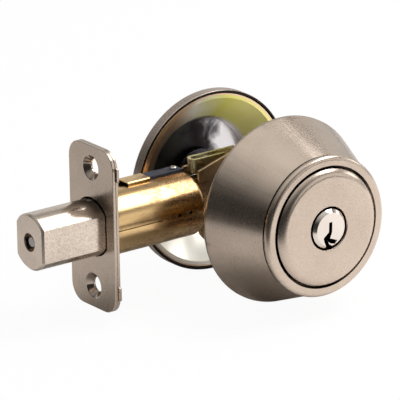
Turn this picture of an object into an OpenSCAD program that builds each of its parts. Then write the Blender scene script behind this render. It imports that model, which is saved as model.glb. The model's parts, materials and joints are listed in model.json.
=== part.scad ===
// Single-cylinder deadbolt: key side, latch with thrown bolt, and thumbturn side.
// Millimetres, +Z up. The key cylinder axis is the Y axis, with the key side toward -Y.
// The bolt slides on the X axis and is thrown toward -X. Both axes cross at the origin.

/* [Door fit] */
// Distance from the key cylinder axis to the front of the faceplate
backset = 60.3; // [58:0.1:64]
// Distance from the latch axis to the door face on the key side
outside_reach = 24.4; // [23.4:0.1:26]
// Distance from the latch axis to the door face on the thumbturn side
inside_reach = 13.2; // [13.2:0.1:14.5]

/* [Key side trim] */
// Outer radius of the collar where it sits on the door
collar_rim_r = 32.4; // [31:0.1:34]
// Outer radius of the collar at its narrow front
collar_neck_r = 24.1; // [23.4:0.1:24.2]
// Height of the tapered collar above the door face
collar_h = 22.8; // [22.6:0.1:23]
// Wall of the collar
collar_wall = 2; // [1.6:0.1:2.2]
// Outer radius of the front ring
ring_r = 24.55; // [24:0.05:25.5]
// Radius of the face disc
disc_r = 20.4; // [19.5:0.1:20.4]
// Height of the face disc in front of the ring
disc_proud = 1.8; // [1.4:0.1:2]

/* [Key cylinder] */
// Radius of the visible head of the key plug
plug_head_r = 6.85; // [6.7:0.05:7.2]
// Radius of the turning plug behind its head
plug_r = 6.4; // [6.2:0.05:6.4]
// Radius of the pins
pin_r = 1.35; // [1.2:0.05:1.35]
// Distance between neighbouring pins
pin_pitch = 3.97; // [3.8:0.01:4]

/* [Faceplate] */
// Width of the faceplate across the door edge
face_w = 25.4; // [24:0.1:28]
// Height of the faceplate
face_h = 57.15; // [56:0.05:60]
// Corner radius of the faceplate
face_corner = 6.35; // [4:0.05:8]
// Thickness of the faceplate
face_t = 1.2; // [1:0.1:1.4]
// Distance between the two faceplate screw holes
face_hole_gap = 41.8; // [40:0.1:44]

/* [Latch] */
// Length of bolt in front of the faceplate when thrown
throw = 25.4; // [24:0.1:25.4]
// Radius of the curved top and bottom of the bolt
bolt_r = 9.8; // [9.4:0.1:9.8]
// Width of the bolt across its two flats
bolt_w = 15.8; // [14:0.1:16.4]
// Outer radius of the latch tube
tube_r = 11.1; // [11.1:0.1:11.4]
// Wall of the latch tube
tube_wall = 0.85; // [0.7:0.05:0.9]

/* [Cam and blade] */
// Radius of the cam hub where it turns in the side plates
hub_r = 5; // [4.9:0.05:5]
// Width of the flat blade that joins plug, cam and thumbturn
blade_w = 7.4; // [7:0.1:7.4]
// Thickness of the blade
blade_t = 2; // [1.8:0.1:2]

/* [Thumbturn side] */
// Outer radius of the rose
rose_r = 31.9; // [31:0.1:33]
// Height of the straight edge of the rose
rose_edge = 4; // [3.5:0.1:4.5]
// Length of the thumbturn paddle
paddle_l = 26; // [22:0.5:28]
// Thickness of the thumbturn paddle
paddle_t = 7; // [6:0.5:8]

/* [Hidden] */
$fn = 96;
eps = 0.1;
// Running gap on a radius between turning parts
run = 0.1;
// Gap on a radius between parts that are only put together
seat = 0.05;
// Open gap on a radius around the face disc, and around the key plug
disc_gap = 0.75;
plug_gap = 0.6;

// Key side levels, measured from the latch axis toward the key
collar_front = outside_reach + collar_h;
collar_floor = collar_front - 1.8;
ring_front = collar_front + 2.7;
disc_front = ring_front + disc_proud;
plug_front = disc_front + 0.9;
body_front = collar_front - 0.2;
body_flange_z = collar_floor - 0.2;
body_rear = outside_reach - 3.4;
plug_rear = body_rear - 3;
clip_z = body_rear - 1.45;
first_pin_z = body_front - 6;
pin_count = 5;
bible_top = 17.2;
shear_r = plug_r + seat;
key_pin_lengths = [4.4, 3.4, 5, 3.9, 4.7];
keyway_depth = first_pin_z - (pin_count - 1) * pin_pitch - 1.6;

// Positions of the two long screws beside the cam
screw_x = 16;
screw_z = -6.5;
screw_r = 2.4;
post_r = 4;

// Raised tongue pressed out of the top of the tube, open toward the faceplate
louver_x = -45.2;
louver_l = 9;
louver_y = 2.9;
louver_w = 6.4;
louver_h = 1.25;
louver_wall = 0.45;

// Plastic insert set in a slot of the tube, in line with the tongue
insert_x = -36.1;
insert_l = 14.9;
insert_y = 1.6;
insert_w = 4.6;
insert_top = 11.75;
stud_x = -23.6;
stud_y = insert_y + insert_w / 2;
stud_r = 0.9;
mark_spots = [-32, -27.4];

// Latch levels along the bolt
face_x = -backset;
back_x = face_x + face_t;
back_t = 1;
tube_x = back_x + back_t;
tube_end = -20.5;
tube_crimp = 2;
tube_in = tube_r - tube_wall;
guide_x = tube_end - 4.7;
guide_t = 2.6;
root_x = guide_x + 0.2;
bolt_tip = face_x - throw;
bolt_rear = face_x + 9.3;
bolt_bevel = 0.7;
tail_y = 1;
tail_root = 1.5;
tail_top = 9.7;
tail_bar = 8.1;
tail_slot_x = face_x - 2;
pin_hole_x = face_x - 3.4;
rivet_r = 1.5;
core_r = 2.1;
core_recess_r = 3.2;
core_depth = 0.8;

// The drive pin stays at this height, so a quarter turn of the cam gives the full throw
drive_h = throw / 2;
drive_r = 1.25;
slot_half = 2.4;

// Cam strap: two arms folded from one strip, standing up behind the tube
strap_t = 1;
strap_y = 1.4;
strap_out = strap_y + strap_t;
strap_end = -20;
strap_low = 10.6;
strap_top = 15.4;
plate_y = 5.2;
plate_t = 1;
plate_back = tube_end + 0.3;
plate_low = -12.5;
post_spots = [[-8, -10], [4, -10.5]];
post_neck_r = 1.2;
post_out_r = 1.9;
hub_half = 6.8;
hub_boss_r = 6.5;

// Thumbturn side levels, measured from the latch axis toward the room
rose_skin = 0.9;
rose_back = inside_reach + 13.4;
rose_flat_r = 23.4;
dish_rim = inside_reach + 0.4;
dish_t = 1.2;
bowl_r = 20.9;
bowl_z = inside_reach + 7.4;
bowl_floor = inside_reach + 10.9;
turn_shaft_r = 5;
turn_end = inside_reach + 3.6;

// local z runs from the latch axis toward the key, local y stays up
module to_key() {
    rotate([90, 0, 0]) children();
}

// local z runs from the latch axis toward the room
module to_room() {
    rotate([-90, 0, 0]) children();
}

// local x is Y, local y is Z, and the extrusion starts at x0 and runs to +X
module across_x(x0, t) {
    translate([x0, 0, 0]) rotate([90, 0, 90]) linear_extrude(t) children();
}

// local x is X, local y is Z, and the extrusion starts at y0 and runs to +Y
module across_y(y0, t) {
    translate([0, y0 + t, 0]) rotate([90, 0, 0]) linear_extrude(t) children();
}

module ring_band(r_in, r_out, z0, z1) {
    translate([r_in, z0]) square([r_out - r_in, z1 - z0]);
}

module rounded_rect(w, h, r) {
    square([w - 2 * r, h], center = true);
    square([w, h - 2 * r], center = true);
    for (sx = [-1, 1]) {
        for (sy = [-1, 1]) {
            translate([sx * (w / 2 - r), sy * (h / 2 - r)]) circle(r);
        }
    }
}

module at_screws() {
    for (sx = [-1, 1]) {
        translate([sx * screw_x, 0, screw_z]) children();
    }
}

module at_face_holes() {
    for (sz = [-1, 1]) {
        translate([face_x, 0, sz * face_hole_gap / 2]) rotate([0, 90, 0]) children();
    }
}

module blade_slot(extra) {
    square([blade_t + 2 * extra, blade_w + 2 * extra], center = true);
}

// Bolt cross-section in Y and Z: a circle cut by two upright flats
module bolt_outline(extra) {
    intersection() {
        circle(bolt_r + extra);
        square([bolt_w + 2 * extra, 3 * bolt_r], center = true);
    }
}

// ---- key side ----

module exterior_collar() {
    color("Silver") to_key() rotate_extrude() polygon([
        [collar_rim_r - collar_wall, outside_reach],
        [collar_rim_r - 0.6, outside_reach],
        [collar_rim_r, outside_reach + 0.6],
        [collar_rim_r, outside_reach + 1.8],
        [collar_neck_r, collar_front],
        [14.2, collar_front],
        [14.2, collar_floor],
        [collar_neck_r - collar_wall + 0.4, collar_floor],
        [collar_rim_r - collar_wall, outside_reach + 1.8]
    ]);
}

module front_ring() {
    front_round = 1.6;
    rear_round = 0.7;
    lip = collar_front + 0.25;
    inner = disc_r + disc_gap;
    color("Silver") to_key() rotate_extrude() difference() {
        union() {
            ring_band(inner, ring_r - front_round, collar_front, ring_front);
            ring_band(inner, ring_r - rear_round, lip, ring_front - front_round);
            ring_band(inner, ring_r, lip + rear_round, ring_front - front_round);
            translate([ring_r - rear_round, lip + rear_round]) circle(rear_round);
            translate([ring_r - front_round, ring_front - front_round]) intersection() {
                circle(front_round);
                square(front_round);
            }
        }
        ring_band(disc_r, disc_r + 2.1, collar_front - 1, collar_front + 1.2);
    }
}

// Raised disc with a softly crowned edge
module face_disc() {
    hole = plug_head_r + plug_gap;
    crown_r = 3.6;
    crown_w = 3.1;
    color("Silver") to_key() rotate_extrude() difference() {
        union() {
            ring_band(hole, disc_r + 1.8, collar_front + seat, collar_front + 1);
            intersection() {
                ring_band(hole, disc_r, collar_front + seat, disc_front);
                union() {
                    ring_band(hole, disc_r - crown_w, collar_front, disc_front);
                    translate([disc_r - crown_w, disc_front - crown_r]) circle(crown_r);
                }
            }
        }
        translate([hole, disc_front]) rotate(45) square(0.5, center = true);
    }
}

module pin_chambers(r, low, high) {
    for (i = [0 : pin_count - 1]) {
        translate([0, low, first_pin_z - i * pin_pitch]) rotate([-90, 0, 0])
            cylinder(h = high - low, r = r);
    }
}

module cylinder_body() {
    color("Goldenrod") difference() {
        union() {
            to_key() rotate_extrude() union() {
                ring_band(shear_r, 10.3, body_rear, body_flange_z - 1);
                ring_band(shear_r, 20.4, body_flange_z - 2.2, body_flange_z);
                ring_band(plug_head_r + run, 13.9, body_flange_z - eps, body_front);
            }
            to_key() difference() {
                translate([-4.6, 0, body_rear + 0.5])
                    cube([9.2, bible_top, body_flange_z - body_rear - 1]);
                cylinder(h = 100, r = 9);
            }
            at_screws() to_key() translate([0, 0, outside_reach + 1.2])
                cylinder(h = body_flange_z - outside_reach - 2, r = post_r);
        }
        to_key() translate([0, 0, body_flange_z - 0.9]) cylinder(h = 5, r = plug_head_r + run);
        to_key() pin_chambers(pin_r + run, 4, bible_top + 1);
        to_key() translate([-3, bible_top - 0.9, body_rear + 1.5])
            cube([6, 2, pin_count * pin_pitch + 1.5]);
        at_screws() to_key() translate([0, 0, outside_reach]) cylinder(h = 16, r = screw_r + seat);
    }
}

// Narrow blade slot above, side wards below, open at the rim of the plug
module keyway() {
    polygon([[-0.7, 2.5], [0.6, 2.5], [0.5, -1], [-0.4, -3.1], [2.6, -4.3], [1.6, -5.4], [-0.3, -4.9],
        [-1.2, -4.1], [-0.8, -5.1], [0.8, -6.1], [0.8, -8], [-1.7, -8], [-1.7, -6.3], [-2.8, -4],
        [-3.1, -2.6], [-0.85, -0.8]]);
}

module key_plug() {
    bevel = 1.1;
    head_z = body_flange_z - 0.7;
    color("Gainsboro") difference() {
        to_key() rotate_extrude() polygon([
            [0, plug_rear],
            [plug_r, plug_rear],
            [plug_r, clip_z - seat],
            [plug_r - 0.9, clip_z - seat],
            [plug_r - 0.9, clip_z + 0.9 + seat],
            [plug_r, clip_z + 0.9 + seat],
            [plug_r, head_z],
            [plug_head_r, head_z],
            [plug_head_r, plug_front - bevel],
            [plug_head_r - bevel, plug_front],
            [0, plug_front]
        ]);
        to_key() translate([0, 0, keyway_depth]) linear_extrude(60) keyway();
        to_key() translate([0, 0, plug_rear - 1]) linear_extrude(6) blade_slot(0.15);
        to_key() pin_chambers(pin_r + run, 0.8, plug_r + 1);
    }
}

module key_pins() {
    top = sqrt(plug_r * plug_r - pin_r * pin_r) - seat;
    tip = 0.8;
    color("Peru") to_key() for (i = [0 : pin_count - 1]) {
        translate([0, top, first_pin_z - i * pin_pitch]) rotate([90, 0, 0]) rotate_extrude() polygon([
            [0, 0],
            [pin_r, 0],
            [pin_r, key_pin_lengths[i] - tip],
            [pin_r - tip, key_pin_lengths[i]],
            [0, key_pin_lengths[i]]
        ]);
    }
}

module driver_pins() {
    color("Silver") to_key() pin_chambers(pin_r, shear_r + seat, 11);
}

// One square-wire coil as a twisted half ring
module pin_springs() {
    coil_h = bible_top - 12.2;
    color("DimGray") to_key() for (i = [0 : pin_count - 1]) {
        translate([0, 11.1, first_pin_z - i * pin_pitch]) rotate([-90, 0, 0])
            linear_extrude(height = coil_h, twist = -1440, slices = 40, $fn = 10) difference() {
                circle(pin_r - 0.1, $fn = 12);
                circle(pin_r - 0.45, $fn = 12);
                translate([-3, -3]) square([6, 3]);
            }
    }
}

module chamber_cap() {
    color("Goldenrod") to_key() translate([-2.9, bible_top - 0.85, body_rear + 1.6])
        cube([5.8, 0.8, pin_count * pin_pitch + 1.3]);
}

module plug_retainer() {
    color("DimGray") to_key() translate([0, 0, clip_z]) linear_extrude(0.9) difference() {
        circle(8.4);
        circle(plug_r - 0.8);
        translate([-3.4, -10]) square([6.8, 10]);
    }
}

module tailpiece() {
    color("Silver") to_key() translate([0, 0, -(bowl_z - 0.5)])
        linear_extrude(plug_rear + 4.6 + bowl_z - 0.5) blade_slot(0);
}

// ---- latch ----

module faceplate() {
    cup_front = 4.45;
    cup_hole = 2.5;
    cup_depth = 2.6;
    color("Silver") difference() {
        union() {
            across_x(face_x, face_t) rounded_rect(face_w, face_h, face_corner);
            at_face_holes() cylinder(h = cup_depth, r1 = cup_front + 0.9, r2 = cup_hole + 1.2);
        }
        across_x(face_x - 1, face_t + 2) bolt_outline(0.4);
        at_face_holes() cylinder(h = cup_depth - 0.8, r1 = cup_front, r2 = cup_hole);
        at_face_holes() cylinder(h = cup_depth + 1, r = cup_hole);
    }
}

module backing_plate() {
    lobe_w = face_w + 1.4;
    lobe_h = 5;
    color("Silver") difference() {
        across_x(back_x + 0.02, back_t - 0.04) union() {
            rounded_rect(face_w, face_h, face_corner);
            for (sz = [-1, 1]) {
                translate([0, sz * face_hole_gap / 2]) rounded_rect(lobe_w, lobe_h, 0.7);
            }
        }
        across_x(back_x - 1, back_t + 2) bolt_outline(0.4);
        at_face_holes() cylinder(h = 9, r = 5.05);
    }
}

module latch_tube() {
    seam = 0.3;
    seam_l = 20;
    mark_r = 0.65;
    crimp_r = tube_r - tube_crimp;
    color("Gold") difference() {
        union() {
            rotate([0, 90, 0]) rotate_extrude() union() {
                ring_band(tube_in, tube_r, tube_x, tube_end - tube_crimp);
                intersection() {
                    translate([crimp_r, tube_end - tube_crimp]) difference() {
                        circle(tube_crimp);
                        circle(tube_crimp - tube_wall);
                    }
                    translate([crimp_r - 0.6, tube_end - tube_crimp]) square(9);
                }
                ring_band(crimp_r - 0.6, crimp_r, tube_end - tube_wall, tube_end);
            }
            across_x(louver_x, louver_l) louver_outline(0);
        }
        across_x(louver_x - 0.7, louver_l + 0.7 - louver_wall) louver_outline(louver_wall);
        across_x(louver_x - 2 * louver_l, 4 * louver_l) circle(tube_in);
        across_x(insert_x - 0.1, insert_l + 0.2) translate([insert_y - 0.1, 5]) square([insert_w + 0.2, 8]);
        across_x(tube_end - 1.7, 3) translate([-1.5, 0]) square([3, 12]);
        across_x(tube_x - 1, seam_l) translate([-tube_r - 0.5, 0.3]) square([0.95, seam]);
        for (x = mark_spots) {
            translate([x, -tube_r - 1, 0.8]) rotate([-90, 0, 0]) cylinder(h = 1.5, r = mark_r);
        }
    }
}

// Cross-section of the tongue, drawn smaller by inset for the hollow below it
module louver_outline(inset) {
    top = tube_r + louver_h - inset;
    half = louver_w / 2 - inset;
    round_r = 0.9 - inset / 2;
    low = tube_in - 3;
    translate([louver_y - half, low]) square([2 * half, top - round_r - low]);
    translate([louver_y - half + round_r, low]) square([2 * (half - round_r), top - low]);
    for (sy = [-1, 1]) {
        translate([louver_y + sy * (half - round_r), top - round_r]) circle(round_r);
    }
}

module top_insert() {
    low = 8;
    nose = 1;
    color("DarkSlateGray") difference() {
        across_y(insert_y, insert_w) polygon([
            [insert_x, low],
            [insert_x, insert_top - nose],
            [insert_x + nose, insert_top],
            [insert_x + insert_l, insert_top],
            [insert_x + insert_l, low]
        ]);
        across_x(insert_x - 1, insert_l + 2) circle(tube_in);
        translate([stud_x, stud_y, 5]) cylinder(h = 10, r = stud_r + seat);
    }
}

module insert_stud() {
    head = insert_top - tube_in + 0.3;
    color("Silver") translate([stud_x, stud_y, tube_in - 0.2]) rotate_extrude() polygon([
        [0, 0],
        [stud_r, 0],
        [stud_r, head],
        [stud_r + 0.4, head],
        [stud_r + 0.4, head + 0.3],
        [stud_r, head + 0.7],
        [0, head + 0.7]
    ]);
}

module bolt_body() {
    length = bolt_rear - bolt_tip;
    color("Silver") difference() {
        intersection() {
            translate([bolt_tip, 0, 0]) rotate([0, 90, 0]) union() {
                cylinder(h = bolt_bevel, r1 = bolt_r - bolt_bevel, r2 = bolt_r);
                translate([0, 0, bolt_bevel]) cylinder(h = length - bolt_bevel, r = bolt_r);
            }
            translate([0, 0, -bolt_r - 1]) linear_extrude(2 * bolt_r + 2) polygon([
                [bolt_tip, -bolt_w / 2 + bolt_bevel],
                [bolt_tip + bolt_bevel, -bolt_w / 2],
                [bolt_rear, -bolt_w / 2],
                [bolt_rear, bolt_w / 2],
                [bolt_tip + bolt_bevel, bolt_w / 2],
                [bolt_tip, bolt_w / 2 - bolt_bevel]
            ]);
        }
        across_x(bolt_tip - 1, pin_hole_x - bolt_tip + 1) circle(core_r + seat);
        across_x(bolt_tip - 1, core_depth + 3) circle(core_recess_r);
        across_x(tail_slot_x - 0.1, 20)
            translate([-tail_y - 0.1, tail_root - 0.1]) square([2 * tail_y + 0.2, 20]);
        at_rivet() cylinder(h = 40, r = rivet_r + seat, center = true);
    }
}

module bolt_core_pin() {
    chamfer = 0.5;
    length = pin_hole_x - bolt_tip - core_depth - 0.3;
    color("LightSteelBlue") translate([bolt_tip + core_depth, 0, 0]) rotate([0, 90, 0]) union() {
        cylinder(h = chamfer, r1 = core_r - chamfer, r2 = core_r);
        translate([0, 0, chamfer]) cylinder(h = length - chamfer, r = core_r);
    }
}

module bolt_tail() {
    post_x = -drive_h;
    color("Silver") difference() {
        across_y(-tail_y, 2 * tail_y) union() {
            translate([tail_slot_x, tail_root])
                square([bolt_rear + 17.5 - tail_slot_x, tail_top - tail_root]);
            translate([tail_slot_x, tail_bar]) square([post_x + 2.3 - tail_slot_x, tail_top - tail_bar]);
            translate([post_x - 2.3, tail_bar]) square([4.6, drive_h - tail_bar]);
            translate([post_x, drive_h]) circle(2.3);
        }
        translate([post_x, 0, drive_h]) rotate([90, 0, 0])
            cylinder(h = 9, r = drive_r + seat, center = true);
        at_rivet() cylinder(h = 9, r = rivet_r + seat, center = true);
    }
}

module at_rivet() {
    translate([face_x + 4.9, 0, 5]) rotate([90, 0, 0]) children();
}

module tail_rivet() {
    color("Silver") at_rivet() cylinder(h = bolt_w - 0.2, r = rivet_r, center = true);
}

module drive_pin() {
    color("Silver") translate([-drive_h, -tail_y, drive_h]) rotate([-90, 0, 0])
        cylinder(h = tail_y + strap_out + 0.5, r = drive_r);
}

module rear_guide() {
    slot_w = plate_t + 2 * seat;
    color("DarkSlateGray") difference() {
        across_x(guide_x, guide_t) circle(tube_in - seat);
        across_x(guide_x - 1, guide_t + 2)
            translate([-tail_y - 0.35, tail_root - 0.4]) square([2 * tail_y + 0.7, 20]);
        for (sy = [-1, 1]) {
            across_x(guide_x - 1, guide_t + 2)
                translate([sy * (plate_y + plate_t / 2) - slot_w / 2, -8]) square([slot_w, 16]);
        }
    }
}

// Part of a side plate that is held inside the tube, and its narrow neck at the crimp
module plate_root() {
    translate([root_x, -7.8]) square([2.6, 15.6]);
    translate([root_x, -5.2]) square([6, 10.4]);
}

module plate_holes() {
    circle(hub_r + run);
    translate([-screw_x, screw_z]) circle(screw_r + 0.4);
    for (p = post_spots) {
        translate(p) circle(post_neck_r + seat);
    }
}

module near_side_plate() {
    color("Gold") across_y(-plate_y - plate_t, plate_t) difference() {
        union() {
            plate_root();
            polygon([[plate_back, -10], [-18, plate_low], [6, plate_low], [10.5, -8], [10.5, 13],
                [6, 17.5], [-3, 17.5], [plate_back, 12.5]]);
        }
        plate_holes();
    }
}

module far_side_plate() {
    color("Gold") across_y(plate_y, plate_t) difference() {
        union() {
            plate_root();
            polygon([[plate_back, -10], [-18, plate_low], [6, plate_low], [10.5, -8], [10.5, 7],
                [6.5, 11], [-18, 11], [plate_back, 9]]);
        }
        plate_holes();
    }
}

module case_posts() {
    color("Silver") for (p = post_spots) {
        translate([p[0], 0, p[1]]) rotate([90, 0, 0]) union() {
            cylinder(h = 2 * plate_y - 0.1, r = post_out_r, center = true);
            cylinder(h = 2 * (plate_y + plate_t) + 0.1, r = post_neck_r, center = true);
            for (s = [-1, 1]) {
                translate([0, 0, s * (plate_y + plate_t + 0.35)])
                    cylinder(h = 0.6, r = post_out_r, center = true);
            }
        }
    }
}

module drive_slot() {
    rotate(135) translate([13, 0]) circle(slot_half);
    rotate(135) translate([17.2, 0]) circle(slot_half);
    rotate(135) translate([13, -slot_half]) square([4.2, 2 * slot_half]);
}

module cam_strap() {
    bend_x = strap_end + strap_out;
    color("Gold") union() {
        across_y(-strap_out, strap_t) difference() {
            union() {
                polygon([[bend_x, strap_low], [bend_x, strap_top], [-6.8, strap_top], [-3.5, 14.2], [6, 3],
                    [0, -4], [-5.4, -4.2]]);
                circle(7);
            }
            circle(hub_r + seat);
        }
        across_y(strap_y, strap_t) difference() {
            union() {
                polygon([[bend_x, strap_low], [bend_x, strap_top], [0.5, strap_top], [6.6, 2.4], [0, -4],
                    [-5.4, -4.2]]);
                circle(7);
            }
            circle(hub_r + seat);
            drive_slot();
        }
        translate([bend_x, 0, strap_low]) linear_extrude(strap_top - strap_low) difference() {
            circle(strap_out);
            circle(strap_y);
            translate([0, -5]) square(10);
        }
    }
}

module cam_hub() {
    color("Silver") difference() {
        to_key() union() {
            cylinder(h = 2 * hub_half, r = hub_r, center = true);
            cylinder(h = 2 * strap_y - 0.1, r = hub_boss_r, center = true);
        }
        to_key() translate([0, 0, -10]) linear_extrude(20) blade_slot(0.15);
    }
}

module hub_washers() {
    color("Silver") to_key() for (s = [-1, 1]) {
        translate([0, 0, s * (strap_out + plate_y) / 2]) difference() {
            cylinder(h = plate_y - strap_out - 0.3, r = 7, center = true);
            cylinder(h = 9, r = hub_r + seat, center = true);
        }
    }
}

// ---- thumbturn side ----

module screw_clearance(r) {
    at_screws() to_room() cylinder(h = 60, r = r);
}

module interior_rose() {
    color("Silver") difference() {
        to_room() rotate_extrude() polygon([
            [rose_r - rose_skin, inside_reach],
            [rose_r - 0.3, inside_reach],
            [rose_r, inside_reach + 0.3],
            [rose_r, inside_reach + rose_edge],
            [rose_r - 1.4, inside_reach + rose_edge + 1.6],
            [rose_flat_r, rose_back - 0.6],
            [rose_flat_r - 1, rose_back],
            [turn_shaft_r + run, rose_back],
            [turn_shaft_r + run, rose_back - 1],
            [rose_flat_r - 1.2, rose_back - 1],
            [rose_r - 2.6, inside_reach + rose_edge + 1.6],
            [rose_r - rose_skin, inside_reach + rose_edge]
        ]);
        screw_clearance(screw_r + 0.3);
    }
}

module rose_plate() {
    rim_out = rose_r - rose_skin - 0.3;
    rim_in = rim_out - 1.7;
    color("DarkKhaki") difference() {
        to_room() rotate_extrude() polygon([
            [rim_out, dish_rim],
            [rim_out, dish_rim + dish_t],
            [rim_in - 0.4, dish_rim + dish_t + 0.3],
            [bowl_r + 0.6, bowl_z + dish_t],
            [bowl_r + 0.4, bowl_floor + dish_t],
            [turn_shaft_r + 0.3, bowl_floor + dish_t],
            [turn_shaft_r + 0.3, bowl_floor],
            [bowl_r - 0.8, bowl_floor],
            [bowl_r - 0.6, bowl_z + 0.4],
            [bowl_r, bowl_z],
            [rim_in, dish_rim + 0.3],
            [rim_in, dish_rim]
        ]);
        screw_clearance(screw_r + 0.3);
    }
}

module thumbturn() {
    base_r = 10;
    base_z = rose_back + 0.2;
    tip_z = rose_back + 16;
    color("Silver") difference() {
        to_room() union() {
            rotate_extrude() polygon([
                [0, turn_end],
                [turn_shaft_r, turn_end],
                [turn_shaft_r, bowl_floor - 3.3 - seat],
                [turn_shaft_r - 0.7, bowl_floor - 3.3 - seat],
                [turn_shaft_r - 0.7, bowl_floor - 2.4 + seat],
                [turn_shaft_r, bowl_floor - 2.4 + seat],
                [turn_shaft_r, base_z],
                [base_r, base_z],
                [base_r, base_z + 1.6],
                [base_r - 1.4, base_z + 2.8],
                [0, base_z + 2.8]
            ]);
            translate([0, paddle_t / 2, 0]) rotate([90, 0, 0]) linear_extrude(paddle_t)
                paddle_outline(base_z + 2, tip_z);
        }
        to_room() translate([0, 0, turn_end - 1]) linear_extrude(bowl_z - turn_end + 2.5)
            blade_slot(0.15);
    }
}

// Paddle seen from above: rounded far corners and a waist at the base disc
module paddle_outline(low, high) {
    corner = 5;
    half = paddle_l / 2;
    translate([-6, low]) square([12, high - low]);
    translate([-half + 1, low + 4.6]) square([2 * half - 2, high - corner - low - 4.6]);
    translate([-half + 1 + corner, low + 4.6]) square([2 * (half - 1 - corner), high - low - 4.6]);
    for (s = [-1, 1]) {
        translate([s * (half - 1 - corner), high - corner]) circle(corner);
    }
    polygon([[-6, low], [6, low], [half - 1, low + 4.6], [-half + 1, low + 4.6]]);
}

module spring_washer() {
    color("DimGray") to_room() rotate_extrude() polygon([
        [turn_shaft_r + 0.1, bowl_floor - 0.9],
        [8.4, bowl_floor - 0.5],
        [8.4, bowl_floor - 0.1],
        [turn_shaft_r + 0.1, bowl_floor - 0.5]
    ]);
}

module turn_washer() {
    color("Silver") to_room() translate([0, 0, bowl_floor - 2.2]) difference() {
        cylinder(h = 1.2, r = 9);
        translate([0, 0, -1]) cylinder(h = 4, r = turn_shaft_r + 0.1);
    }
}

module turn_clip() {
    color("DimGray") to_room() translate([0, 0, bowl_floor - 3.3]) linear_extrude(0.9) difference() {
        circle(7);
        circle(turn_shaft_r - 0.6);
        translate([-2.6, -9]) square([5.2, 9]);
    }
}

module mounting_screws() {
    head_r = 4.1;
    head_h = 2.3;
    tip_y = outside_reach + 14;
    color("Silver") at_screws() difference() {
        to_room() translate([0, 0, -tip_y]) union() {
            cylinder(h = 1, r1 = screw_r - 0.8, r2 = screw_r);
            translate([0, 0, 1]) cylinder(h = tip_y + rose_back - 1, r = screw_r);
            translate([0, 0, tip_y + rose_back]) cylinder(h = head_h - 0.8, r = head_r);
            translate([0, 0, tip_y + rose_back + head_h - 0.8])
                cylinder(h = 0.8, r1 = head_r, r2 = head_r - 0.8);
        }
        for (a = [0, 90]) {
            to_room() translate([0, 0, rose_back + head_h - 1.4]) linear_extrude(3)
                rotate(a) square([4.4, 1], center = true);
        }
    }
}

exterior_collar();
front_ring();
face_disc();
cylinder_body();
key_plug();
key_pins();
driver_pins();
pin_springs();
chamber_cap();
plug_retainer();
tailpiece();
faceplate();
backing_plate();
latch_tube();
top_insert();
insert_stud();
bolt_body();
bolt_core_pin();
bolt_tail();
tail_rivet();
drive_pin();
rear_guide();
near_side_plate();
far_side_plate();
case_posts();
cam_strap();
cam_hub();
hub_washers();
interior_rose();
rose_plate();
thumbturn();
spring_washer();
turn_washer();
turn_clip();
mounting_screws();
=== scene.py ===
"""Deadbolt door lock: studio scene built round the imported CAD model."""
import bmesh
import bpy
import json
from math import cos, pi, radians, sin
from mathutils import Matrix, Vector

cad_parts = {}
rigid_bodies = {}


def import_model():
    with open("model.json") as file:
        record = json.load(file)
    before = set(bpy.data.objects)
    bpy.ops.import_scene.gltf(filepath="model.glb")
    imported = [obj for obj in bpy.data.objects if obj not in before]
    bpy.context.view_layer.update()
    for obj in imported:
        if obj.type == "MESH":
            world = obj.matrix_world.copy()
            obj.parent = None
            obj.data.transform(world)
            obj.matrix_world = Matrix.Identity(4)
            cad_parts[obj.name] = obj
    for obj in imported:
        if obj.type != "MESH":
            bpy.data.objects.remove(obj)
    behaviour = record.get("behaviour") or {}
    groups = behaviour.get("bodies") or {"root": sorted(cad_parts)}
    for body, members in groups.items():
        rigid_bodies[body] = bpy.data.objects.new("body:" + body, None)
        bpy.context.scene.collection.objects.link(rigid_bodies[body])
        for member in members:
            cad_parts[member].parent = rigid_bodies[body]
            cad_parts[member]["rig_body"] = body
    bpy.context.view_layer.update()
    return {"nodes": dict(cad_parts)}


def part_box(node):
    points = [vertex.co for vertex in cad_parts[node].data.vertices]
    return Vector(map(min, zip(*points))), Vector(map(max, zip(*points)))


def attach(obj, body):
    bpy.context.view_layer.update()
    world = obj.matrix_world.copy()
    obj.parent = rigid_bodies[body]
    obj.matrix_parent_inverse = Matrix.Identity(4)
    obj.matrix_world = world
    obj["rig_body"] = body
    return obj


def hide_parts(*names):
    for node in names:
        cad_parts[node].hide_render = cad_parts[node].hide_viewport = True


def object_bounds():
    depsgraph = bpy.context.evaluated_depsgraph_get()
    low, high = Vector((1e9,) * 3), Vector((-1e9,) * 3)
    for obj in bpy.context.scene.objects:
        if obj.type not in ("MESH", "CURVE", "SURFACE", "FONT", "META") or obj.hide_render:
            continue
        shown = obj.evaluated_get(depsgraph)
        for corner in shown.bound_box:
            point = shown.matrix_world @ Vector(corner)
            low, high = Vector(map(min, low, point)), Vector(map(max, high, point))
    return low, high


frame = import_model()
MM = 0.001


# ---------------------------------------------------------------- camera

# A long lens at the front left and a little above, with a slight roll
CAMERA_YAW = radians(-35.97)
CAMERA_PITCH = radians(18.92)
CAMERA_ROLL = radians(-1.03)
CAMERA_DISTANCE = 1657.1 * MM
CAMERA_LENS = 439.2
CAMERA_TARGET = Vector((-15.5, 0, -0.3)) * MM


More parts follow.
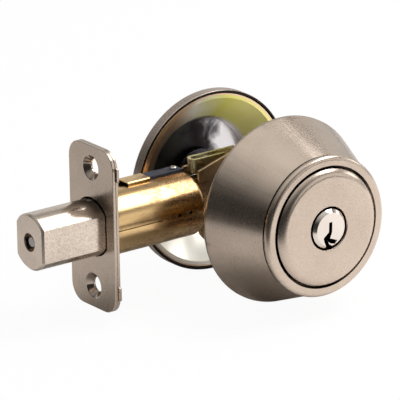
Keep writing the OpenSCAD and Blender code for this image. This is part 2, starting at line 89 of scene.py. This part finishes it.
def make_camera():
    back = Vector((
        sin(CAMERA_YAW) * cos(CAMERA_PITCH),
        -cos(CAMERA_YAW) * cos(CAMERA_PITCH),
        sin(CAMERA_PITCH),
    ))
    level_right = (-back).cross(Vector((0, 0, 1))).normalized()
    level_up = level_right.cross(-back)
    right = cos(CAMERA_ROLL) * level_right + sin(CAMERA_ROLL) * level_up
    up = cos(CAMERA_ROLL) * level_up - sin(CAMERA_ROLL) * level_right
    data = bpy.data.cameras.new("camera")
    data.lens = CAMERA_LENS
    data.sensor_width = 36
    data.clip_start = 0.05
    data.clip_end = 50
    camera = bpy.data.objects.new("camera", data)
    matrix = Matrix((right, up, back)).transposed().to_4x4()
    matrix.translation = CAMERA_TARGET + back * CAMERA_DISTANCE
    camera.matrix_world = matrix
    bpy.context.scene.collection.objects.link(camera)
    bpy.context.scene.camera = camera


# ---------------------------------------------------------------- shader helpers


class Tree:
    """A node tree with short calls for adding and joining nodes."""

    def __init__(self, owner):
        owner.use_nodes = True
        self.tree = owner.node_tree
        self.tree.nodes.clear()

    def add(self, kind, inputs=None, **settings):
        made = self.tree.nodes.new(kind)
        for name, value in settings.items():
            setattr(made, name, value)
        for key, value in (inputs or {}).items():
            self.feed(made.inputs[key], value)
        return made

    def feed(self, socket, value):
        if isinstance(value, bpy.types.NodeSocket):
            self.tree.links.new(value, socket)
        else:
            socket.default_value = value

    def math(self, operation, *values):
        made = self.add("ShaderNodeMath", operation=operation)
        for socket, value in zip(made.inputs, values):
            self.feed(socket, value)
        return made.outputs[0]

    def vector(self, operation, *values, output="Vector"):
        made = self.add("ShaderNodeVectorMath", operation=operation)
        for socket, value in zip(made.inputs, values):
            self.feed(socket, value)
        return made.outputs[output]

    def along(self, vector, axis):
        """How far vector reaches along axis."""
        return self.vector("DOT_PRODUCT", vector, tuple(axis), output="Value")

    def scaled(self, vector, factor):
        made = self.add("ShaderNodeVectorMath", operation="SCALE")
        self.feed(made.inputs[0], vector)
        self.feed(made.inputs["Scale"], factor)
        return made.outputs[0]

    def noise(self, vector, scale, detail=3.0, distortion=0.0):
        made = self.add("ShaderNodeTexNoise", {
            "Vector": vector, "Scale": scale, "Detail": detail, "Distortion": distortion})
        return made.outputs["Fac"]

    def spread(self, value, low, high, to_low=0.0, to_high=1.0):
        """Maps low..high to to_low..to_high with smooth ends."""
        made = self.add("ShaderNodeMapRange", {
            "Value": value, "From Min": low, "From Max": high, "To Min": to_low, "To Max": to_high},
            interpolation_type="SMOOTHSTEP")
        return made.outputs["Result"]

    def mix(self, share, first, second, blend="MIX"):
        made = self.add("ShaderNodeMix", data_type="RGBA", blend_type=blend)
        self.feed(made.inputs["Factor"], share)
        self.feed(made.inputs["A"], first)
        self.feed(made.inputs["B"], second)
        return made.outputs["Result"]

    def finish_metal(self, colour, roughness, height, strength, relief):
        """The metal shader and output, with height bumped up to relief (mm)."""
        bump = self.add("ShaderNodeBump", {
            "Strength": strength, "Distance": relief * MM, "Height": height})
        shader = self.add("ShaderNodeBsdfPrincipled", {
            "Base Color": colour, "Metallic": 1.0, "Roughness": roughness,
            "Normal": bump.outputs["Normal"]})
        self.add("ShaderNodeOutputMaterial", {"Surface": shader.outputs["BSDF"]})

    def ramp(self, value, stops):
        made = self.add("ShaderNodeValToRGB", {"Fac": value})
        elements = made.color_ramp.elements
        while len(elements) < len(stops):
            elements.new(0.5)
        for element, (place, colour) in zip(elements, stops):
            element.position = place
            element.color = (*colour, 1)
        return made.outputs["Color"]


def rgba(colour):
    return (*colour, 1)


def millimetres(tree):
    """Rest-frame coordinates in millimetres, which stay with the piece when it moves."""
    place = tree.add("ShaderNodeTexCoord").outputs["Object"]
    return tree.scaled(place, 1 / MM)


# How a metal was worked: turned round an axis, or brushed along one. Long streaks run that way:
# STREAK shortens the noise's coordinates along a brushed axis, and ROUND sets them round a turned one.
AXES = {"X": Vector((1, 0, 0)), "Y": Vector((0, 1, 0)), "Z": Vector((0, 0, 1))}
STREAK = 0.05
ROUND = 1.4


def worked(tree, place, way):
    """Coordinates for streaks: turned about an axis ("turn Y") or straight along one ("brush Z")."""
    manner, axis = way.split()
    along = AXES[axis]
    across = Vector((1, 1, 1)) - along
    if manner == "brush":
        return tree.vector("MULTIPLY", place, tuple(across + along * STREAK))
    flat = tree.vector("MULTIPLY", place, tuple(across))
    radius = tree.vector("LENGTH", flat, output="Value")
    level = tree.along(place, along)
    bearing = tree.scaled(tree.vector("NORMALIZE", flat), ROUND)
    depth = tree.scaled(tuple(along), tree.math("ADD", radius, level))
    return tree.vector("ADD", bearing, depth)


def edge_mask(tree):
    """1 on the rounded edges that machined() makes, 0 elsewhere."""
    return tree.add("ShaderNodeAttribute", attribute_name="edge").outputs["Fac"]


# Narrow gaps that get painted shade: radius from the key axis and level along Y, low to high (mm),
# and the share of the painted shade that stays on their lighter side
SHADED_GAPS = (
    (6.8, 7.5, -60, -40, 1.0),
    (20.32, 21.3, -60, -40, 0.12),
    (22.6, 24.3, -47.55, -46.85, 1.0),
    (30.7, 31.75, 13.0, 14.3, 1.0),
)
# The way toward the gaps' lighter side, where their painted shade fades, and where along it the fading
# starts and is complete (mm)
LIGHTER_SIDE = Vector((0.94, 0, -0.34))
LIGHTER_FROM, LIGHTER_TO = 9, 18


def gap_shade(tree, place):
    """Painted shade: 1 inside the narrow gaps, less on their lighter side, 0 elsewhere."""
    radius = tree.vector("LENGTH", tree.vector("MULTIPLY", place, (1, 0, 1)), output="Value")
    level = tree.along(place, AXES["Y"])
    toward_lighter = tree.along(place, LIGHTER_SIDE)
    painted_shade = 0.0
    for inner, outer, low, high, left in SHADED_GAPS:
        for value, start, end in ((radius, inner, outer), (level, low, high)):
            middle, half = (start + end) / 2, (end - start) / 2
            inside = tree.math("COMPARE", value, middle, half)
            share = inside if value is radius else tree.math("MULTIPLY", share, inside)
        share = tree.math("MULTIPLY", share, tree.spread(toward_lighter, LIGHTER_FROM, LIGHTER_TO, 1.0, left))
        painted_shade = tree.math("MAXIMUM", painted_shade, share)
    return painted_shade


# Countersunk holes of the faceplate, whose pressed walls stay bright: height and radius (mm)
FACE_HOLES = ((20.9, 4.55), (-20.9, 4.55))
# Colours of the painted shade in the gaps and of the painted dark reflection on the bolt
SHADE_BLACK = (0.01, 0.008, 0.006, 1)
REFLECTED_DARK = (0.02, 0.016, 0.013, 1)


def metal(name, colour, roughness, way="brush X", stains=(), grain=0.2, specks=0.25, wear=0.35,
          relief=0.004, size=1.6, polished=(), dark_reflection=()):
    """Plated or bare metal: fine streaks, tiny specks, a soft mottle, polished edges and painted shade
    in the narrow gaps round the key axis.

    stains are the stops of a colour ramp that takes the place of colour. polished lists round holes
    with smooth walls. dark_reflection paints the faceplate's dark reflection on the bolt, from start
    to end along X and Z (mm).
    """
    material = bpy.data.materials.new(name)
    tree = Tree(material)
    place = millimetres(tree)
    streaks = tree.noise(worked(tree, place, way), size, 4.0)
    mottle = tree.noise(place, 0.09, 3.0, 0.4)
    dots = tree.noise(place, 2.6, 2.0)
    base = rgba(colour)
    if stains:
        base = tree.ramp(tree.noise(place, 0.07, 2.5, 1.2), stains)
    for pattern, low, high, share, tint in (
            (mottle, 0.3, 0.75, 0.14, (0.35, 0.33, 0.3)),
            (streaks, 0.3, 0.7, grain * 0.35, (0.6, 0.6, 0.6)),
            (dots, 0.35, 0.72, specks * 0.6, (0.5, 0.47, 0.43))):
        base = tree.mix(tree.spread(pattern, low, high, 0.0, share), base, rgba(tint), "MULTIPLY")
    bare = tuple(min(1.0, 0.22 + 0.8 * c) for c in colour)
    shade = tree.mix(tree.math("MULTIPLY", edge_mask(tree), wear), base, rgba(bare))
    # Painted shade: the narrow gaps darkened nearly to black
    shade = tree.mix(tree.math("MULTIPLY", gap_shade(tree, place), 0.97), shade, SHADE_BLACK)
    # Painted reflection: the dark faceplate seen in the bolt's top, painted on as a dark patch
    if dark_reflection:
        start, end, low, high = dark_reflection
        reflected_shade = tree.math("MULTIPLY", tree.spread(tree.along(place, AXES["X"]), start, end),
                         tree.spread(tree.along(place, AXES["Z"]), low, high, 0.0, 0.92))
        shade = tree.mix(reflected_shade, shade, REFLECTED_DARK)
    rough = tree.spread(streaks, 0.25, 0.75, roughness * (1 - grain), roughness * (1 + grain))
    speckled = tree.spread(dots, 0.3, 0.7, 1 - specks * 0.5, 1 + specks * 0.5)
    rough = tree.math("MULTIPLY", rough, speckled)
    for hole_z, hole_radius in polished:
        offset = tree.vector("MULTIPLY", tree.vector("SUBTRACT", place, (0, 0, hole_z)), (0, 1, 1))
        distance = tree.vector("LENGTH", offset, output="Value")
        dulling = tree.spread(distance, hole_radius - 0.1, hole_radius + 0.1, 0.3, 1.0)
        rough = tree.math("MULTIPLY", rough, dulling)
    scratches = tree.math("MULTIPLY", streaks, grain * 3)
    pits = tree.math("MULTIPLY", dots, specks * 3)
    tree.finish_metal(shade, rough, tree.math("ADD", scratches, pits), 0.5, relief)
    return material


def moulded_plastic(name, colour):
    """Matt plastic with a fine grain, bluish patches and paler edges."""
    material = bpy.data.materials.new(name)
    tree = Tree(material)
    place = millimetres(tree)
    grain = tree.noise(place, 3.5, 4.0)
    patches = tree.noise(place, 0.25, 2.0)
    base = tree.mix(tree.spread(patches, 0.3, 0.7, 0.0, 0.4), rgba(colour), (0.07, 0.08, 0.11, 1))
    base = tree.mix(tree.math("MULTIPLY", edge_mask(tree), 0.4), base, (0.2, 0.22, 0.26, 1))
    rough = tree.spread(grain, 0.3, 0.7, 0.36, 0.55)
    bump = tree.add("ShaderNodeBump", {"Strength": 0.3, "Distance": 0.02 * MM, "Height": grain})
    shader = tree.add("ShaderNodeBsdfPrincipled", {
        "Base Color": base, "Roughness": rough, "Specular IOR Level": 0.3,
        "Normal": bump.outputs["Normal"]})
    tree.add("ShaderNodeOutputMaterial", {"Surface": shader.outputs["BSDF"]})
    return material


def chromate_dish(name, bowl_radius, rim_radius):
    """Pressed dish with an oily chromate coating: copper to green and yellow across X, cream below,
    with a painted highlight on its slope and a painted reflection in its bowl.
    """
    material = bpy.data.materials.new(name)
    tree = Tree(material)
    place = millimetres(tree)
    drift = tree.math("MULTIPLY", tree.math("SUBTRACT", tree.noise(place, 0.1, 3.0, 0.8), 0.5), 16)
    side = tree.math("ADD", tree.along(place, AXES["X"]), drift)
    level = tree.along(place, AXES["Z"])
    radius = tree.vector("LENGTH", tree.vector("MULTIPLY", place, (1, 0, 1)), output="Value")
    # Slope: the chromate's copper, green and yellow tints, with a painted highlight in the pale cream
    # band left of the middle
    slope = tree.ramp(tree.spread(side, -26, 26), (
        (0.1, (0.62, 0.42, 0.28)), (0.22, (0.78, 0.6, 0.44)), (0.36, (0.96, 0.94, 0.84)),
        (0.5, (0.86, 0.86, 0.52)), (0.68, (0.80, 0.76, 0.20)), (0.9, (0.86, 0.80, 0.30))))
    # Bowl: painted reflection, near-black over most of it and bright toward its right
    bowl = tree.ramp(tree.spread(side, -12, 15), (
        (0.1, (0.05, 0.052, 0.05)), (0.45, (0.016, 0.013, 0.014)), (0.66, (0.03, 0.026, 0.028)),
        (0.78, (0.16, 0.15, 0.16)), (0.92, (0.84, 0.82, 0.84))))
    base = tree.mix(tree.spread(radius, bowl_radius - 0.8, bowl_radius + 0.6), bowl, slope)
    base = tree.mix(tree.spread(level, -2, -12), base, (1.0, 0.97, 0.88, 1))
    worn = tree.math("MULTIPLY", edge_mask(tree), 0.6)
    rim = tree.math("MAXIMUM", worn, tree.spread(radius, rim_radius - 0.3, rim_radius))
    base = tree.mix(rim, base, (0.93, 0.68, 0.47, 1))
    haze = tree.noise(place, 0.35, 4.0)
    tree.finish_metal(base, tree.spread(haze, 0.2, 0.8, 0.33, 0.36), haze, 0.1, 0.002)
    return material


# Latch tube: its outer radius, below which its marks get painted shade, and where along X these marks
# end before the crimped rear end (mm)
TUBE_RADIUS = 11.1
CRIMP = (-24, -23)


def tinted_tube(name, colour, rust, start, end):
    """Yellow zinc on a rolled tube, blotched with rust from start to end along X, with painted shade in
    its sunken marks.
    """
    material = bpy.data.materials.new(name)
    tree = Tree(material)
    place = millimetres(tree)
    along = tree.along(place, AXES["X"])
    blotch = tree.noise(tree.vector("MULTIPLY", place, (0.5, 1, 1)), 0.22, 5.0, 0.6)
    fine = tree.noise(place, 1.1, 4.0)
    drawn = tree.noise(worked(tree, place, "brush X"), 1.5, 3.0)
    nearer = tree.spread(along, start, end, 0.0, 0.32)
    share = tree.math("ADD", nearer, tree.spread(fine, 0.3, 0.7, -0.1, 0.1))
    stained = tree.spread(tree.math("ADD", blotch, share), 0.5, 0.86, 0.0, 1.0)
    base = tree.mix(tree.spread(drawn, 0.3, 0.7, 0.0, 0.3), rgba(colour), (0.88, 0.66, 0.36, 1))
    base = tree.mix(stained, base, rgba(rust))
    base = tree.mix(tree.math("MULTIPLY", edge_mask(tree), 0.5), base, (0.92, 0.82, 0.58, 1))
    radius = tree.vector("LENGTH", tree.vector("MULTIPLY", place, (0, 1, 1)), output="Value")
    # Painted shade: whatever lies below the tube's outer surface ahead of the crimp, such as its seam
    # and stamped marks, is darkened nearly to black
    sunk = tree.spread(radius, TUBE_RADIUS - 0.2, TUBE_RADIUS - 0.1, 0.95, 0.0)
    pressed = tree.math("MULTIPLY", sunk, tree.spread(along, *CRIMP, 1.0, 0.0))
    base = tree.mix(pressed, base, (0.02, 0.013, 0.008, 1))
    duller = tree.math("MULTIPLY", stained, 0.08)
    rough = tree.math("ADD", tree.spread(fine, 0.3, 0.7, 0.18, 0.21), duller)
    height = tree.math("ADD", tree.math("MULTIPLY", fine, 0.15), drawn)
    tree.finish_metal(base, rough, height, 0.3, 0.004)
    return material


# ---------------------------------------------------------------- pieces


# Folds that get a rounded edge, folds that stay sharp in the shading, and faces taken as one plane
SHARP = radians(24)
CREASE = radians(42)
COPLANAR = radians(0.4)
# Vertices nearer than this are joined (m)
WELD = 0.2e-6
# The two long screws: where they stand, and the level along Y where their threads start (mm)
SCREW_X = (-16, 16)
SCREW_Z = -6.5
SCREW_PLAIN = 18
# One turn of their thread (mm), and the rows of faces in it
THREAD_PITCH = 0.8
THREAD_ROWS = 6


def soften(mesh):
    """Smooth shading, with creases left sharp."""
    mesh.shade_smooth()
    mesh.set_sharp_from_angle(angle=CREASE)


def smooth(piece):
    """Smooth shading that keeps flat faces flat."""
    soften(piece.data)
    weighted = piece.modifiers.new("even_normals", "WEIGHTED_NORMAL")
    weighted.keep_sharp = True


def machined(node, edge, material):
    """The CAD node's own shape with its edges rounded by edge (mm), riding on the node's body."""
    source = frame["nodes"][node]
    shape = bmesh.new()
    shape.from_mesh(source.data)
    bmesh.ops.remove_doubles(shape, verts=shape.verts, dist=WELD)
    bmesh.ops.dissolve_limit(shape, angle_limit=COPLANAR, verts=shape.verts, edges=shape.edges)
    marks = shape.loops.layers.float.new("edge")
    corners = [e for e in shape.edges if e.is_manifold and e.calc_face_angle(0) > SHARP]
    rounded = bmesh.ops.bevel(shape, geom=corners, offset=edge * MM, offset_type="OFFSET",
                              segments=3, profile=0.5, affect="EDGES", clamp_overlap=True,
                              loop_slide=True)
    for face in rounded["faces"]:
        for loop in face.loops:
            loop[marks] = 1.0
    mesh = bpy.data.meshes.new(node + "_piece")
    shape.to_mesh(mesh)
    shape.free()
    mesh.materials.append(material)
    piece = bpy.data.objects.new(node + "_piece", mesh)
    bpy.context.scene.collection.objects.link(piece)
    smooth(piece)
    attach(piece, source["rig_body"])
    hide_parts(node)
    return piece


def thread_ring(shape, x, level, tip, shank=2.35, depth=0.4, flank=3.2, around=20):
    """One ring of vertices of a thread, level mm along Y. A higher flank makes its sides steeper.

    The thread gets its full depth 1.5 mm from the plain shaft, and the screw narrows to 0.55 of its
    radius over the last 1.2 mm at its tip.
    """
    run_out = min(1.0, (SCREW_PLAIN - level) / 1.5)
    lead = min(1.0, 0.55 + 0.45 * (level - tip) / 1.2)
    ring = []
    for k in range(around):
        turn = k / around
        phase = (level / THREAD_PITCH + turn) % 1
        cut = depth * min(1.0, flank * abs(phase - 0.5)) * run_out
        radius = (shank - cut) * lead
        place = Vector((x + radius * cos(2 * pi * turn), level, SCREW_Z + radius * sin(2 * pi * turn)))
        ring.append(shape.verts.new(place * MM))
    return ring


def threaded_screws(node, edge, material):
    """The CAD screws, with their shafts in front of the level SCREW_PLAIN cut with a real thread."""
    piece = machined(node, edge, material)
    shape = bmesh.new()
    shape.from_mesh(piece.data)
    everything = shape.verts[:] + shape.edges[:] + shape.faces[:]
    sliced = bmesh.ops.bisect_plane(shape, geom=everything, dist=WELD / 2, clear_inner=True,
                                    plane_co=(0, SCREW_PLAIN * MM, 0), plane_no=(0, 1, 0))
    rims = [part for part in sliced["geom_cut"] if isinstance(part, bmesh.types.BMEdge)]
    bmesh.ops.holes_fill(shape, edges=rims)
    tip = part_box(node)[0].y / MM
    length = SCREW_PLAIN - tip
    rows = int(length / THREAD_PITCH * THREAD_ROWS)
    levels = [SCREW_PLAIN - length * row / rows for row in range(rows + 1)]
    for x in SCREW_X:
        rings = [thread_ring(shape, x, level, tip) for level in levels]
        for above, below in zip(rings, rings[1:]):
            for k in range(len(above)):
                after = (k + 1) % len(above)
                shape.faces.new((above[k], above[after], below[after], below[k]))
        shape.faces.new(rings[-1])
        shape.faces.new(reversed(rings[0]))
    bmesh.ops.recalc_face_normals(shape, faces=shape.faces)
    shape.to_mesh(piece.data)
    shape.free()
    soften(piece.data)


def repaint(node, material):
    """A CAD node that stays as it is, with a better material."""
    for place in frame["nodes"][node].material_slots:
        place.link = "OBJECT"
        place.material = material


# ---------------------------------------------------------------- studio

FLOOR_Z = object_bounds()[0].z - 0.2 * MM
# Ways across the floor along which painted shade darkens its paper, seen only in the metal's
# reflections
NEAR_LEFT = Vector((-0.6, -0.8, 0))
FAR_LEFT = Vector((-0.6, 0.8, 0))


def make_floor():
    """White paper, evenly lit to the lens; to the metal it shows the object's own shadow and painted
    shade toward the left.
    """
    mesh = bpy.data.meshes.new("floor")
    shape = bmesh.new()
    bmesh.ops.create_circle(shape, cap_ends=True, segments=96, radius=30)
    shape.to_mesh(mesh)
    shape.free()
    floor = bpy.data.objects.new("floor", mesh)
    floor.location.z = FLOOR_Z
    bpy.context.scene.collection.objects.link(floor)
    material = bpy.data.materials.new("floor_paper")
    tree = Tree(material)
    place = millimetres(tree)
    fibres = tree.noise(place, 0.4, 3.0)
    seen = tree.add("ShaderNodeLightPath").outputs["Is Camera Ray"]
    bare = tree.mix(fibres, (0.80, 0.785, 0.78, 1), (0.84, 0.825, 0.82, 1))
    # Painted shade: the paper darkened toward the near left and the far left, seen only in reflections
    for way, start, end, share in ((NEAR_LEFT, 90, 170, 0.9), (FAR_LEFT, -60, 0, 0.3)):
        bare = tree.mix(tree.spread(tree.along(place, way), start, end, 0.0, share), bare, (0, 0, 0, 1))
    paper = tree.add("ShaderNodeBsdfDiffuse", {"Color": tree.mix(seen, bare, (0.04, 0.04, 0.04, 1))})
    glow = tree.add("ShaderNodeEmission", {
        "Color": (1, 1, 1, 1), "Strength": tree.math("MULTIPLY", seen, 0.95)})
    both = tree.add("ShaderNodeAddShader")
    tree.feed(both.inputs[0], paper.outputs[0])
    tree.feed(both.inputs[1], glow.outputs[0])
    tree.add("ShaderNodeOutputMaterial", {"Surface": both.outputs[0]})
    mesh.materials.append(material)


# Brightness of the room where it is lit, and the ways toward its two lit sides
CEILING = 0.95
RIGHT_WALL = 0.68
FRONT_CARD = 0.95
TO_WALL = Vector((0.71, 0.71, 0))
TO_CARD = Vector((0.574, -0.819, 0))


def make_world():
    """A dim room, lighter to the right, in front and overhead, with white paper behind the object."""
    world = bpy.data.worlds.new("studio")
    bpy.context.scene.world = world
    tree = Tree(world)
    direction = tree.add("ShaderNodeTexCoord").outputs["Generated"]
    height = tree.along(direction, AXES["Z"])
    rise = tree.math("DIVIDE", tree.math("SUBTRACT", height, 0.3), 0.7)
    rise = tree.math("POWER", tree.math("MAXIMUM", rise, 0.0), 1.6)
    level = tree.math("ADD", tree.math("MULTIPLY", rise, CEILING), 0.04)
    for way, edge, middle, glow, low, high in (
            (TO_WALL, -0.1, 0.8, RIGHT_WALL, 0.45, 0.75),
            (TO_CARD, 0.74, 0.93, FRONT_CARD, 0.5, 0.7)):
        side = tree.math("MULTIPLY", tree.spread(tree.along(direction, way), edge, middle, 0.0, glow),
                         tree.spread(height, low, high, 1.0, 0.0))
        level = tree.math("MAXIMUM", level, side)
    seen = tree.add("ShaderNodeLightPath").outputs["Is Camera Ray"]
    room = tree.add("ShaderNodeBackground", {"Color": (1.0, 0.99, 0.97, 1), "Strength": level})
    backdrop = tree.add("ShaderNodeBackground", {"Color": (1, 1, 1, 1), "Strength": 1.0})
    chosen = tree.add("ShaderNodeMixShader", {"Fac": seen})
    tree.feed(chosen.inputs[1], room.outputs[0])
    tree.feed(chosen.inputs[2], backdrop.outputs[0])
    tree.add("ShaderNodeOutputWorld", {"Surface": chosen.outputs[0]})


def bearing(azimuth, elevation):
    """Unit vector: azimuth 0 is +Y and 90 is +X, in degrees."""
    a, e = radians(azimuth), radians(elevation)
    return Vector((sin(a) * cos(e), cos(a) * cos(e), sin(e)))


def softbox(name, azimuth, elevation, distance, width, height, radiance, mirrored=True):
    """A rectangular soft light that faces the object and looks radiance bright in a mirror."""
    data = bpy.data.lights.new(name, "AREA")
    data.shape = "RECTANGLE"
    data.size = width
    data.size_y = height
    data.energy = radiance * pi * width * height
    lamp = bpy.data.objects.new(name, data)
    lamp.location = bearing(azimuth, elevation) * distance
    lamp.rotation_euler = bearing(azimuth, elevation).to_track_quat("Z", "Y").to_euler()
    lamp.visible_camera = False
    lamp.visible_glossy = mirrored
    bpy.context.scene.collection.objects.link(lamp)


def light_studio():
    softbox("key_light", azimuth=105, elevation=53, distance=1.2, width=0.95, height=0.5, radiance=4.0)
    softbox("side_light", azimuth=103, elevation=17, distance=1.3, width=0.5, height=0.3, radiance=2.2)
    softbox("floor_light", azimuth=130, elevation=60, distance=0.7, width=0.4, height=0.4,
            radiance=5.6, mirrored=False)


# ---------------------------------------------------------------- the lock

SATIN = (0.645, 0.535, 0.445)
# Painted light: a paler copy of the satin nickel, for the bolt's brighter lit look
SATIN_PAINTED_LIGHTER = (0.84, 0.725, 0.62)
BRIGHT = (0.83, 0.75, 0.68)
# Painted shade: a darker copy of the satin nickel, for the rose's shaded look
SATIN_PAINTED_DARKER = (0.60, 0.505, 0.435)
GOLD = (0.76, 0.51, 0.24)

turned_nickel = metal("satin_nickel_turned", SATIN, 0.25, "turn Y", grain=0.06, specks=0.2)
brushed_nickel = metal("satin_nickel_plate", SATIN, 0.25, "brush Z", grain=0.05, specks=0.35,
                       polished=FACE_HOLES)
# The bolt's top gets a painted dark reflection of the faceplate, next to the faceplate
bolt_nickel = metal("satin_nickel_bolt_painted_lighter", SATIN_PAINTED_LIGHTER, 0.2, "brush X", grain=0.05, specks=0.7,
                    relief=0.008, dark_reflection=(-69, -62, 3.5, 8))
rose_nickel = metal("satin_nickel_rose_painted_darker", SATIN_PAINTED_DARKER, 0.28, "turn Y", grain=0.08, wear=0.0)
bright_nickel = metal("bright_nickel", BRIGHT, 0.1, "turn Y", grain=0.1, specks=0.1, wear=0.2,
                      relief=0.002)
yellow_zinc = tinted_tube("yellow_zinc", GOLD, rust=(0.42, 0.25, 0.12), start=-46, end=-24)
plate_zinc = metal("yellow_zinc_plate", GOLD, 0.32, "brush X", stains=(
    (0.3, (0.62, 0.42, 0.26)), (0.5, (0.74, 0.58, 0.38)), (0.7, (0.76, 0.66, 0.46))))
strap_zinc = metal("yellow_zinc_strap", GOLD, 0.3, "brush X", wear=0.6, stains=(
    (0.3, (0.60, 0.55, 0.30)), (0.5, (0.80, 0.74, 0.46)), (0.7, (0.84, 0.80, 0.56))))
chromate = chromate_dish("oily_chromate", bowl_radius=21, rim_radius=30.3)
brass = metal("brass", (0.78, 0.60, 0.30), 0.24, "turn Y")
steel = metal("zinc_steel", (0.56, 0.56, 0.55), 0.26, "brush Y")
hard_steel = metal("hard_steel", (0.42, 0.41, 0.40), 0.22, "turn X")
spring_steel = metal("spring_steel", (0.26, 0.26, 0.27), 0.3, "turn Y")
plastic = moulded_plastic("dark_plastic", (0.03, 0.036, 0.052))
black_oxide = metal("black_oxide", (0.06, 0.055, 0.07), 0.25, "turn Y", wear=0.2)

# Nodes that are replaced by a piece of their own shape: radius of its rounded edges (mm), and material
ROUNDED = {
    "exterior_collar": (0.3, turned_nickel),
    "front_ring": (0.25, turned_nickel),
    "face_disc": (0.15, turned_nickel),
    "cylinder_body": (0.2, brass),
    "key_plug": (0.12, bright_nickel),
    "plug_retainer": (0.1, spring_steel),
    "tailpiece": (0.2, steel),
    "faceplate": (0.2, brushed_nickel),
    "backing_plate": (0.15, brushed_nickel),
    "latch_tube": (0.12, yellow_zinc),
    "top_insert": (0.2, plastic),
    "insert_stud": (0.1, steel),
    "bolt_body": (0.15, bolt_nickel),
    "bolt_core_pin": (0.1, hard_steel),
    "bolt_tail": (0.15, steel),
    "tail_rivet": (0.15, steel),
    "drive_pin": (0.2, hard_steel),
    "rear_guide": (0.2, plastic),
    "near_side_plate": (0.15, plate_zinc),
    "far_side_plate": (0.15, plate_zinc),
    "case_posts": (0.1, steel),
    "cam_strap": (0.15, strap_zinc),
    "cam_hub": (0.2, steel),
    "hub_washers": (0.1, steel),
    "interior_rose": (0.3, rose_nickel),
    "rose_plate": (0.25, chromate),
    "thumbturn": (0.6, turned_nickel),
    "spring_washer": (0.1, spring_steel),
    "turn_washer": (0.15, black_oxide),
    "turn_clip": (0.1, spring_steel),
}
# Nodes that stay as they are and are only repainted
KEPT = {
    "key_pins": brass,
    "driver_pins": steel,
    "pin_springs": spring_steel,
    "chamber_cap": brass,
}

make_camera()
make_floor()
make_world()
light_studio()
for node, (edge, material) in ROUNDED.items():
    machined(node, edge, material)
for node, material in KEPT.items():
    repaint(node, material)
threaded_screws("mounting_screws", 0.15, steel)

bpy.context.scene.view_settings.view_transform = "Standard"
